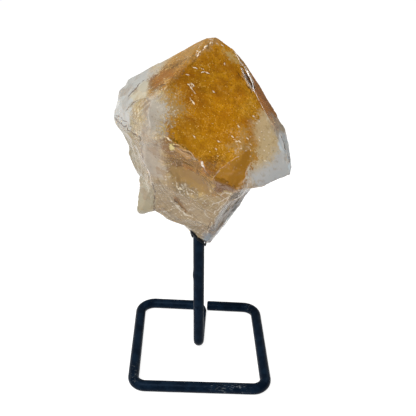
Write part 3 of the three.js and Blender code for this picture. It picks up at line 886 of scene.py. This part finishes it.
# the colour of the dark cracks and of the painted shade lines
DARK_CRACK_AND_SHADE = "#4E2E06"
# the colour of pale cracks, specks and mottle, and of the painted highlights along edges
PALE_CRACK_AND_HIGHLIGHT = "#F4EEDF"
TRANSMISSION = 0.5
QUARTZ_IOR = 1.544
ABSORBED_TINT = "#FFE9BE"
ABSORPTION = 10.0
QUARTZ_SPECULAR = 0.22
COAT_ROUGHNESS = 0.05
FROST_ROUGHNESS = 0.3
SHARD_SIZE = 3.2
PANEL_SIZE = 4.2
SPECK_SIZE = 0.9
FLECK_SIZE = 0.6
ZONE_WANDER = 0.12
CRACK_FRAY = 0.5
CRACK_GAP_EDGE = 0.06
RING_WOBBLE = 2.5
RINGS_PER_METRE = 900.0
FAN_SHARE = 0.65
LINES_CHANGE = (108.0, 100.0)
PLAINNESS = 0.85
CROWDING = 0.2
FLECK_HEIGHT = 0.3
PANEL_HEIGHT = 0.3
QUARTZ_BUMP = 0.6
QUARTZ_BUMP_DEPTH = 0.5

quartz, tree, output = new_material("citrine")
where = places(tree)


def kept_value(name):
    """The value stored on the crystal's points under a name."""
    return shader_node(tree, "ShaderNodeAttribute", attribute_name=name).outputs["Fac"]


def both(first, second):
    """The share that two masks have in common: their product."""
    return maths(tree, "MULTIPLY", first, second)


def without(mask):
    """What a mask leaves over."""
    return maths(tree, "SUBTRACT", 1.0, mask)


def wandering(value):
    """A cloud value spread out so that most of it lies between -1 and 1."""
    return both(maths(tree, "SUBTRACT", value, 0.5), 4.0)


def cells(size):
    """Cells of a size in millimetres: the random value of each and the distance from its middle."""
    inputs = {"Vector": where, "Scale": 1 / (size * MM)}
    made = shader_node(tree, "ShaderNodeTexVoronoi", inputs, feature="F1")
    parts = shader_node(tree, "ShaderNodeSeparateColor", {0: made.outputs["Color"]})
    return parts.outputs[0], made.outputs["Distance"]


flat_growth = kept_value("grown_face")
broken_part = without(flat_growth)
cloud_wander = wandering(clouds(tree, where, scale=150.0, detail=4.0, roughness=0.6))
shard_wander = wandering(ramp(tree, cells(SHARD_SIZE)[0], 0.0, 1.0, start=0.25, end=0.75))
grain_wander = wandering(clouds(tree, where, scale=1100.0, detail=2.0, roughness=0.7))


def by_face(broken, grown):
    """A value for the broken parts and another for the flat growth faces."""
    return ramp(tree, flat_growth, 0.0, 1.0, broken, grown)


def zone_mask(zone):
    """1 inside a colour zone's egg shape and 0 outside it, with a cloudy edge."""
    apart = vector_maths(tree, "SUBTRACT", where, place(*zone["middle"]))
    shares = [1 / (reach * MM) for reach in zone["reach"]]
    inside = vector_maths(tree, "LENGTH", vector_maths(tree, "MULTIPLY", apart, shares))
    inside = maths(tree, "ADD", inside, both(cloud_wander, ZONE_WANDER))
    return ramp(tree, inside, 1 - zone["edge"], 1 + zone["edge"], start=1.0, end=0.0)


def patch_mask(patch):
    """1 inside a colour patch and 0 outside it, with the patch's own kind of edge."""
    depth = kept_value(patch["name"])
    for stray, reach in zip((cloud_wander, shard_wander, grain_wander), patch["ragged"]):
        depth = maths(tree, "ADD", depth, both(stray, reach))
    return ramp(tree, depth, -patch["soft"], patch["soft"])


body = colour(FROSTED)
kinds = {"amber": 0.0, "plain": 0.0, "cloud": 0.0}
masks = [(zone, zone_mask(zone)) for zone in COLOUR_ZONES]
masks += [(patch, patch_mask(patch)) for patch in COLOUR_PATCHES]
for part, mask in masks:
    body = mixed(tree, mask, body, colour(part["tint"]))
    outside = without(mask)
    for kind in kinds:
        kinds[kind] = both(kinds[kind], outside)
        if part.get("kind") == kind:
            kinds[kind] = maths(tree, "ADD", kinds[kind], mask)
amber, plain, cloud = kinds["amber"], kinds["plain"], kinds["cloud"]


def over(mask, part, strength, tint):
    """Lays a tint over the crystal's colour where a mask and a part of the crystal meet."""
    return mixed(tree, both(both(mask, part), strength), body, colour(tint))


def fracture_lines(blow, fineness):
    """Lines that fan out over a fracture from the spot that was struck, crossed by faint rings."""
    away = vector_maths(tree, "SUBTRACT", where, place(*blow))
    fan_way = vector_maths(tree, "NORMALIZE", away)
    fan = clouds(tree, fan_way, fineness, detail=4.0, roughness=0.65, distortion=0.3)
    wobble = both(clouds(tree, where, scale=200.0), RING_WOBBLE * MM)
    ring = maths(tree, "ADD", vector_maths(tree, "LENGTH", away), wobble)
    ring_place = {"W": ring, "Scale": RINGS_PER_METRE}
    rings = shader_node(tree, "ShaderNodeTexNoise", ring_place, noise_dimensions="1D").outputs["Fac"]
    return maths(tree, "ADD", both(fan, FAN_SHARE), both(rings, 1 - FAN_SHARE))


def crack_mask(kind, breaks):
    """1 in the cracks of a kind and 0 beside them, broken up along their length."""
    away = maths(tree, "ADD", kept_value(kind + "_away"), both(grain_wander, CRACK_FRAY))
    share = ramp(tree, maths(tree, "ABSOLUTE", away), low=0.5, high=1.2, start=1.0, end=0.0)
    patchy = clouds(tree, where, scale=500.0, roughness=0.6)
    gaps = ramp(tree, patchy, breaks - CRACK_GAP_EDGE, breaks + CRACK_GAP_EDGE)
    return both(both(share, kept_value(kind + "_near")), gaps)


pale_part = without(amber)
unplain = without(both(plain, PLAINNESS))
rough_part = both(broken_part, unplain)
milky_part = both(pale_part, unplain)
depths = clouds(tree, where, scale=75.0)
mottle = clouds(tree, where, scale=400.0, detail=4.0, roughness=0.7)
grit = clouds(tree, where, scale=1500.0, detail=2.0, roughness=0.8)

# Clouds, veins and grains in the amber, and a mottle in the pale quartz
body = over(ramp(tree, depths, low=0.5, high=0.38), amber, strength=0.6, tint=DEEP_AMBER)
body = over(ramp(tree, depths, low=0.5, high=0.64), amber, strength=0.6, tint=BRIGHT_AMBER)
body = over(ramp(tree, mottle, low=0.5, high=0.34), amber, strength=0.45, tint=DARK_AMBER)
body = over(ramp(tree, mottle, low=0.54, high=0.68), amber, strength=0.3, tint=GOLD_FLECK)
vein_cloud = clouds(tree, where, scale=330.0, detail=2.5, roughness=0.6)
vein_away = maths(tree, "ABSOLUTE", maths(tree, "SUBTRACT", vein_cloud, 0.5))
veins = ramp(tree, vein_away, low=0.004, high=0.018, start=1.0, end=0.0)
veins = both(veins, ramp(tree, grit, low=0.45, high=0.55))
veined = both(amber, ramp(tree, depths, low=0.44, high=0.54))
body = over(veins, veined, strength=0.6, tint=GOLD_FLECK)
body = over(ramp(tree, grit, low=0.48, high=0.36), amber, strength=0.75, tint=DARK_AMBER)
body = over(ramp(tree, mottle, low=0.56, high=0.7), milky_part, strength=0.3, tint=PALE_CRACK_AND_HIGHLIGHT)
body = over(ramp(tree, mottle, low=0.46, high=0.34), pale_part, strength=0.3, tint=PANEL_SHADE)

# Gold flecks, and white flecks that are painted glints, both crowded where the crystal sparkles
fleck_value, fleck_away = cells(FLECK_SIZE)
fleck_dot = ramp(tree, fleck_away, low=0.15, high=0.5, start=1.0, end=0.0)
crowded = maths(tree, "ADD", fleck_value, both(kept_value("sparkle"), CROWDING))
gold = both(fleck_dot, ramp(tree, crowded, low=0.88, high=0.95))
body = over(gold, amber, strength=0.8, tint=GOLD_FLECK)
glint_fleck = both(fleck_dot, ramp(tree, crowded, low=1.1, high=1.16))
body = over(glint_fleck, 1.0, strength=0.9, tint=GLINT_WHITE)

# Angular panels, fracture lines and specks in the broken root
panel_value = cells(PANEL_SIZE)[0]
body = over(ramp(tree, panel_value, low=0.45, high=0.05), broken_part, strength=0.35, tint=PANEL_SHADE)
above_foot = shader_node(tree, "ShaderNodeSeparateXYZ", {0: where}).outputs["Z"]
lower = ramp(tree, above_foot, LINES_CHANGE[0] * MM, LINES_CHANGE[1] * MM)
upper_lines = fracture_lines(BLOWS[0], fineness=26.0)
lower_lines = fracture_lines(BLOWS[1], fineness=40.0)
lines = shader_node(tree, "ShaderNodeMix", {0: lower, 2: upper_lines, 3: lower_lines}).outputs[0]
body = over(ramp(tree, lines, low=0.47, high=0.4), rough_part, strength=0.5, tint=CRACK_SHADE)
pale_rough = both(rough_part, pale_part)
body = over(ramp(tree, lines, low=0.56, high=0.63), pale_rough, strength=0.6, tint=PALE_CRACK_AND_HIGHLIGHT)
speck_value, speck_away = cells(SPECK_SIZE)
speck_dot = ramp(tree, speck_away, low=0.2, high=0.45, start=1.0, end=0.0)
white_speck = both(speck_dot, ramp(tree, speck_value, low=0.9, high=0.94))
dark_speck = both(speck_dot, ramp(tree, speck_value, low=0.1, high=0.06))
body = over(white_speck, milky_part, strength=0.7, tint=PALE_CRACK_AND_HIGHLIGHT)
body = over(dark_speck, milky_part, strength=0.5, tint=CRACK_SHADE)

# The cracks, painted shade lines and painted highlight lines over all of it, and the chips, each a
# painted glint in a ring of painted shade
pale_cracked = ramp(tree, milky_part, 0.0, 1.0, start=0.35, end=1.0)
body = over(crack_mask("pale", breaks=0.46), pale_cracked, strength=0.75, tint=PALE_CRACK_AND_HIGHLIGHT)
body = over(crack_mask("dark", breaks=0.43), 1.0, strength=0.75, tint=DARK_CRACK_AND_SHADE)
chip_shade_ring = ramp(tree, maths(tree, "ABSOLUTE", kept_value("chip_away")), low=3.0, high=1.6)
ringed = both(amber, ramp(tree, grit, low=0.42, high=0.52))
body = over(chip_shade_ring, ringed, strength=0.7, tint=DARK_AMBER)
body = over(crack_mask("chip", breaks=0.42), 1.0, strength=0.95, tint=GLINT_WHITE)

fine_relief = clouds(tree, where, scale=600.0, detail=5.0, roughness=0.65)
relief = both(fine_relief, by_face(broken=0.3, grown=0.1))
relief = maths(tree, "ADD", relief, both(gold, FLECK_HEIGHT))
relief = maths(tree, "ADD", relief, both(lines, rough_part))
relief = maths(tree, "ADD", relief, both(both(panel_value, broken_part), PANEL_HEIGHT))
relief = both(relief, unplain)
frost = both(cloud, FROST_ROUGHNESS)
shader = shader_node(tree, "ShaderNodeBsdfPrincipled", {
    "Base Color": body,
    "Roughness": maths(tree, "ADD", by_face(broken=0.16, grown=0.06), frost),
    "IOR": QUARTZ_IOR,
    "Transmission Weight": TRANSMISSION,
    "Specular IOR Level": QUARTZ_SPECULAR,
    "Coat Weight": by_face(broken=0.05, grown=0.15),
    "Coat Roughness": COAT_ROUGHNESS,
    "Normal": bumps(tree, relief, QUARTZ_BUMP, QUARTZ_BUMP_DEPTH),
})
absorbed = {"Color": colour(ABSORBED_TINT), "Density": ABSORPTION}
absorption = shader_node(tree, "ShaderNodeVolumeAbsorption", absorbed)
tree.links.new(shader.outputs[0], output.inputs["Surface"])
tree.links.new(absorption.outputs[0], output.inputs["Volume"])
crystal.data.materials.append(quartz)
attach(crystal, "root")
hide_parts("crystal")

# Inclusions: thin splinters of healed fractures inside the crystal, scattered and in curved sheets.
# They were sealed in as the quartz grew, so they are seen only through it.
SPLINTER_SEED = 5
SPLINTER_SCATTER = 700
SPLINTER_DEPTH = (0.5, 6.0)
SPLINTER_LENGTH = (0.25, 0.9)
SPLINTER_WIDTH = (0.12, 0.3)
SPLINTER_THICKNESS = 0.05
SPLINTER_SKEW = 0.2
CLUSTER_LENGTHS = (0.4, 1.4)
INSIDE_MARGIN = 0.2
INSIDE_PER_LENGTH = 0.6
SPLINTER_CLUSTERS = [
    {"middle": (-1.8, -12.4, 132.2), "spread": (0.9, 1.2, 2.6), "count": 40, "length": 0.9},
    {"middle": (12.0, -21.0, 115.0), "spread": (6.0, 2.0, 4.0), "count": 190, "length": 0.6},
    {"middle": (-8.0, -20.0, 127.0), "spread": (4.0, 2.0, 5.0), "count": 140, "length": 0.5},
    {"middle": (-6.0, -24.0, 119.0), "spread": (4.0, 2.0, 3.5), "count": 60, "length": 0.6},
    {"middle": (25.0, -19.0, 108.0), "spread": (2.5, 2.0, 2.5), "count": 70, "length": 0.6},
]
SHEETS = 14
SHEET_SIZE = (4.0, 9.0)
SHEET_DEPTH = (3.0, 14.0)
SHEET_CURL = 0.06
SHEET_SPREAD = 0.5
SHEET_UNEVEN = 0.25
SHEET_SPLINTERS = 80
SHEET_SPLINTER_LENGTH = (0.3, 0.8)
FRACTURE_WHITE = "#FBE8BC"
FRACTURE_GOLD = "#E0AC4A"
FRACTURE_GLOW = 0.2
FRACTURE_SPECULAR = 0.3


splinter_draw = np.random.default_rng(SPLINTER_SEED)
inner = search_tree(crystal.data)


def any_turn():
    """A turn or mirroring in any direction."""
    return Matrix(np.linalg.qr(splinter_draw.normal(size=(3, 3)))[0])


def under_surface(number, depth):
    """The place straight under a point of the crystal's surface, at a depth in millimetres."""
    return Vector(points[number]) - Vector(face_normals[number]) * depth * MM


def well_inside(at, least):
    """Whether a place lies inside the crystal, at least so deep in millimetres."""
    spot, normal, _, away = inner.find_nearest(at)
    return away > least * MM and (at - spot).dot(normal) < 0


def splinter(shape, at, length):
    """A closed flat splinter with six points, turned at random."""
    turn = any_turn()
    width = length * splinter_draw.uniform(*SPLINTER_WIDTH)
    half = Vector((length / 2, width, length * SPLINTER_THICKNESS))
    ends = [Vector((half.x, 0, 0)), Vector((-half.x, 0, 0))]
    rim = [Vector((SPLINTER_SKEW * half.x, half.y, 0)), Vector((0, 0, half.z))]
    rim += [Vector((0, -half.y, 0)), Vector((0, 0, -half.z))]
    tips = [shape.verts.new((turn @ end * MM) + at) for end in ends]
    belt = [shape.verts.new((turn @ point * MM) + at) for point in rim]
    for k in range(len(belt)):
        shape.faces.new((tips[0], belt[k - 1], belt[k]))
        shape.faces.new((tips[1], belt[k], belt[k - 1]))


splinters = []
for number in splinter_draw.choice(len(points), SPLINTER_SCATTER):
    at = under_surface(number, splinter_draw.uniform(*SPLINTER_DEPTH))
    splinters.append((at, splinter_draw.uniform(*SPLINTER_LENGTH)))
for cluster in SPLINTER_CLUSTERS:
    for _ in range(cluster["count"]):
        away = splinter_draw.normal(size=3) * cluster["spread"] * MM
        length = cluster["length"] * splinter_draw.uniform(*CLUSTER_LENGTHS)
        splinters.append((place(*cluster["middle"]) + Vector(away), length))
for _ in range(SHEETS):
    number = splinter_draw.integers(len(points))
    middle = under_surface(number, splinter_draw.uniform(*SHEET_DEPTH))
    lie = any_turn()
    size = splinter_draw.uniform(*SHEET_SIZE)
    curl = splinter_draw.uniform(-SHEET_CURL, SHEET_CURL)
    for _ in range(SHEET_SPLINTERS):
        u, v = splinter_draw.normal(size=2) * size * SHEET_SPREAD
        bow = curl * (u * u + v * v) + SHEET_UNEVEN * splinter_draw.normal()
        length = splinter_draw.uniform(*SHEET_SPLINTER_LENGTH)
        splinters.append((middle + lie @ Vector((u, v, bow)) * MM, length))
shape = bmesh.new()
for at, length in splinters:
    if well_inside(at, INSIDE_PER_LENGTH * length + INSIDE_MARGIN):
        splinter(shape, at, length)
splinter_mesh = bpy.data.meshes.new("inner_splinters")
bmesh.ops.recalc_face_normals(shape, faces=shape.faces)
shape.to_mesh(splinter_mesh)
shape.free()
inclusions = bpy.data.objects.new("inner_splinters", splinter_mesh)
bpy.context.scene.collection.objects.link(inclusions)

glints, tree, output = new_material("healed_fracture")
where = places(tree)
shine = ramp(tree, clouds(tree, where, scale=700.0), low=0.4, high=0.6)
tint = mixed(tree, shine, colour(FRACTURE_WHITE), colour(FRACTURE_GOLD))
shader = shader_node(tree, "ShaderNodeBsdfPrincipled", {
    "Base Color": tint,
    "Roughness": ramp(tree, shine, 0.0, 1.0, start=0.1, end=0.25),
    # painted glow: the splinters give off faint light of their own tint, standing in for light that
    # hardly reaches them inside the quartz
    "Emission Color": tint,
    "Emission Strength": FRACTURE_GLOW,
    "Specular IOR Level": FRACTURE_SPECULAR,
})
tree.links.new(shader.outputs[0], output.inputs["Surface"])
inclusions.data.materials.append(glints)
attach(inclusions, "root")

# The glue: a dark fillet squeezed out round the post where it goes up into the drilled crystal.
# It set with a smooth, slightly lumpy skin.
GLUE_FACE = 0.3
GLUE_SWELL = 0.05
GLUE_SMOOTHING_ROUNDS = 4
GLUE_GRAIN = 0.8
GLUE_ROUGHNESS = (0.45, 0.65)
GLUE_SPECULAR = 0.08
GLUE_BUMP = 0.4
GLUE_BUMP_DEPTH = 0.2
GLUE_BLACK = "#070D14"
GLUE_BROWN = "#10151B"

glue, glue_normals = even_copy(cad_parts["glue_fillet"], "glue_bead", GLUE_FACE)
points, edges = read_points(glue.data)
points += glue_normals * GLUE_SWELL * MM
for _ in range(GLUE_SMOOTHING_ROUNDS):
    points += 0.5 * (neighbour_mean(points, edges) - points)
glue.data.vertices.foreach_set("co", points.ravel())
glue.data.update()
glue.data.shade_smooth()

glue_finish, tree, output = new_material("dark_glue")
where = places(tree)
patches, height = hand_finish(tree, where, GLUE_GRAIN)
browned = ramp(tree, patches, low=0.35, high=0.65)
shader = shader_node(tree, "ShaderNodeBsdfPrincipled", {
    "Base Color": mixed(tree, browned, colour(GLUE_BLACK), colour(GLUE_BROWN)),
    "Roughness": ramp(tree, patches, 0.3, 0.7, *GLUE_ROUGHNESS),
    "Specular IOR Level": GLUE_SPECULAR,
    "Normal": bumps(tree, height, GLUE_BUMP, GLUE_BUMP_DEPTH),
})
tree.links.new(shader.outputs[0], output.inputs["Surface"])
glue.data.materials.append(glue_finish)
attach(glue, "root")
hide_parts("glue_fillet")

# The setting: a plain white floor and soft light from all round, brighter above and to the left,
# with a large soft lamp in front on the left and a small one behind on the right.
FLOOR_SIDE = 8.0
FLOOR_GREYS = [(0.28, 0.28, 0.28, 1), (0.32, 0.32, 0.32, 1)]
FLOOR_CLOUDS_PER_METRE = 3.0
FLOOR_ROUGHNESS = 0.9
FLOOR_SPECULAR = 0.1
FLOOR_LIGHT = "#FFFFFF"
SKY_LIGHT = "#FFFBF4"
SKY_SEEN = "#FFFFFF"
SKY_BRIGHT = 0.4
SKY_DIM = 0.1
BRIGHT_SIDE = (-0.75, 0.5, 0.43)
FLOOR_GLOW = 0.92

floor_mesh = bpy.data.meshes.new("floor")
half = FLOOR_SIDE / 2
floor_corners = [(-half, -half, 0), (half, -half, 0), (half, half, 0), (-half, half, 0)]
floor_mesh.from_pydata(floor_corners, [], [range(len(floor_corners))])
floor = bpy.data.objects.new("floor", floor_mesh)
bpy.context.scene.collection.objects.link(floor)
floor_white, tree, output = new_material("white_floor")
where = places(tree)
shader = shader_node(tree, "ShaderNodeBsdfPrincipled", {
    "Base Color": mixed(tree, clouds(tree, where, FLOOR_CLOUDS_PER_METRE), *FLOOR_GREYS),
    "Roughness": FLOOR_ROUGHNESS,
    "Specular IOR Level": FLOOR_SPECULAR,
    "Emission Color": colour(FLOOR_LIGHT),
    "Emission Strength": FLOOR_GLOW,
})
tree.links.new(shader.outputs[0], output.inputs["Surface"])
floor.data.materials.append(floor_white)

sky = bpy.data.worlds.new("soft_room")
bpy.context.scene.world = sky
sky.use_nodes = True
tree = sky.node_tree
tree.nodes.clear()
way = shader_node(tree, "ShaderNodeTexCoord").outputs["Generated"]
towards_bright = vector_maths(tree, "DOT_PRODUCT", way, BRIGHT_SIDE)
level = ramp(tree, towards_bright, low=-0.55, high=0.8, start=SKY_DIM, end=SKY_BRIGHT)
to_camera = shader_node(tree, "ShaderNodeLightPath").outputs["Is Camera Ray"]
level = maths(tree, "MAXIMUM", level, to_camera)
tint = mixed(tree, to_camera, colour(SKY_LIGHT), colour(SKY_SEEN))
glow = shader_node(tree, "ShaderNodeBackground", {"Color": tint, "Strength": level})
shader_node(tree, "ShaderNodeOutputWorld", {"Surface": glow.outputs[0]})


def soft_box(name, at, aim, side, power):
    """A square soft light at a place, turned to shine at a spot, all in millimetres."""
    lamp = bpy.data.lights.new(name, "AREA")
    lamp.size = side * MM
    lamp.energy = power
    lamp_object = bpy.data.objects.new(name, lamp)
    lamp_object.location = place(*at)
    way = place(*aim) - place(*at)
    lamp_object.rotation_euler = way.to_track_quat("-Z", "Y").to_euler()
    bpy.context.scene.collection.objects.link(lamp_object)


soft_box("key_light", at=KEY_LIGHT_AT, aim=(0, 0, 90), side=240, power=3.1)
soft_box("rim_light", at=(300, 260, 260), aim=(0, 0, 100), side=120, power=0.3)
bpy.context.scene.view_settings.view_transform = "Standard"
